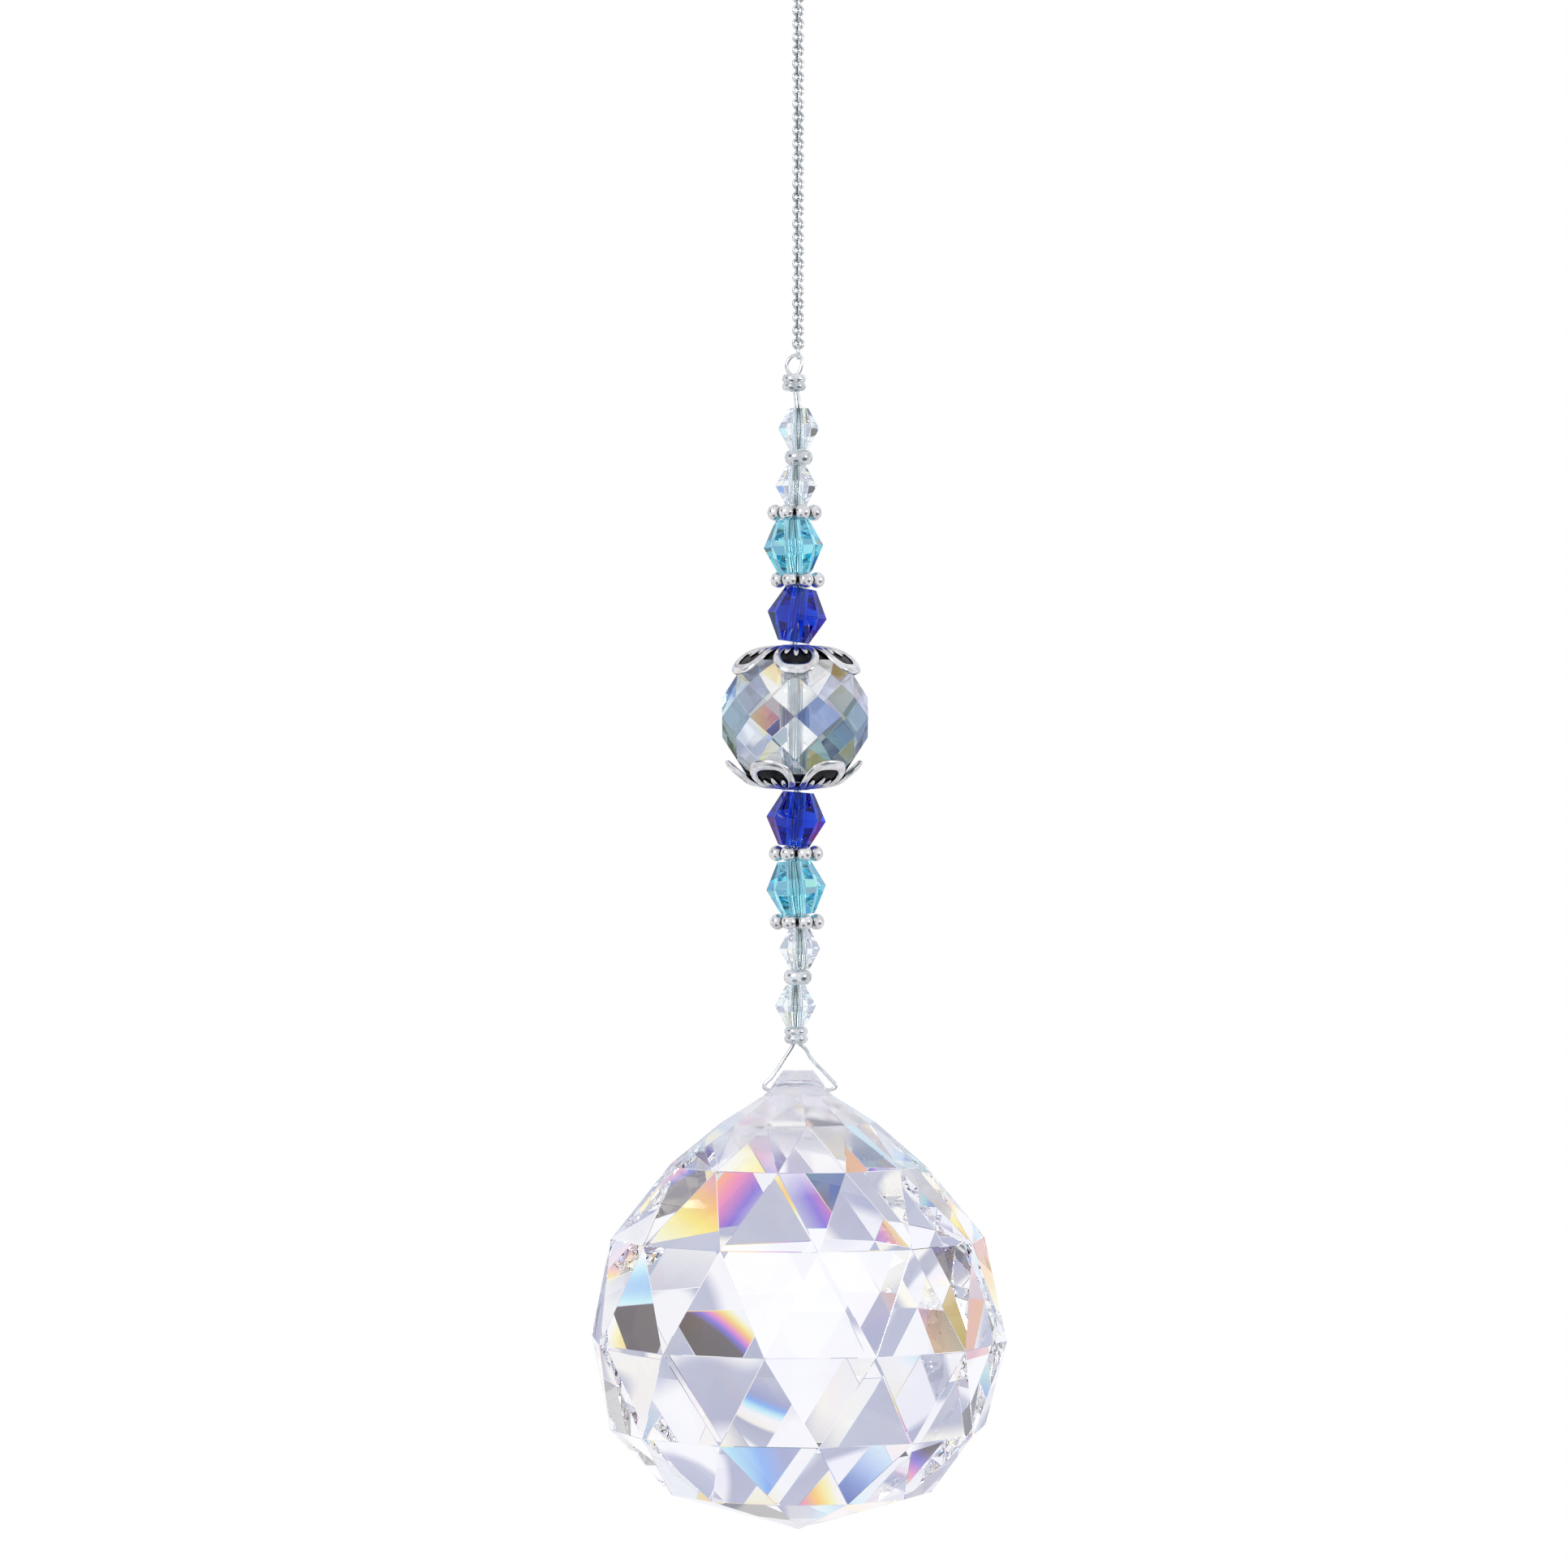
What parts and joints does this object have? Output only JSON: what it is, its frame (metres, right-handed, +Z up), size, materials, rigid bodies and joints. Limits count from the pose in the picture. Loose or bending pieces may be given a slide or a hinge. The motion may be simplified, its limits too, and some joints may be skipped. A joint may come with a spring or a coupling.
{
  "type": "crystal suncatcher",
  "caption": "Hanging suncatcher: faceted clear ball prism under a stack of glass bicones, silver spacers and a capped rondelle, on a fine chain with a ring.",
  "frame": {"origin": "the point inside the top of the hanging ring, where a hook or a nail bears", "axes": "+Z up; the suncatcher hangs down -Z; the front faces -Y and +X is to the right of someone looking at it"},
  "size_m": [0.04, 0.04, 0.1554],
  "materials": {
    "silver": "bright silver plate on chain, wire, crimps and round beads",
    "antique_silver": "antiqued silver casting, bright on its high places and black in its recesses",
    "clear_glass": "clear polished crystal glass with a faint blue cast",
    "crystal": "clear polished crystal glass, flat cut facets",
    "sky_glass": "transparent aqua blue glass, polished facets",
    "cobalt_glass": "transparent deep cobalt blue glass, polished facets",
    "plated_glass": "clear glass with a thin half-plated coat that turns from cream to lavender and blue-grey"
  },
  "bodies": {
    "root": {"hanging_ring": "silver", "chain": "silver", "beading_wire": "silver", "top_crimp": "silver", "clear_bicone_1": "clear_glass", "round_bead_upper": "silver", "clear_bicone_2": "clear_glass", "daisy_spacer_1": "antique_silver", "sky_bicone_1": "sky_glass", "daisy_spacer_2": "antique_silver", "cobalt_bicone_1": "cobalt_glass", "bead_cap_upper": "antique_silver", "faceted_rondelle": "plated_glass", "bead_cap_lower": "antique_silver", "cobalt_bicone_2": "cobalt_glass", "daisy_spacer_3": "antique_silver", "sky_bicone_2": "sky_glass", "daisy_spacer_4": "antique_silver", "clear_bicone_3": "clear_glass", "round_bead_lower": "silver", "clear_bicone_4": "clear_glass", "bottom_crimp": "silver", "ball_prism": "crystal"}
  },
  "joints": []
}
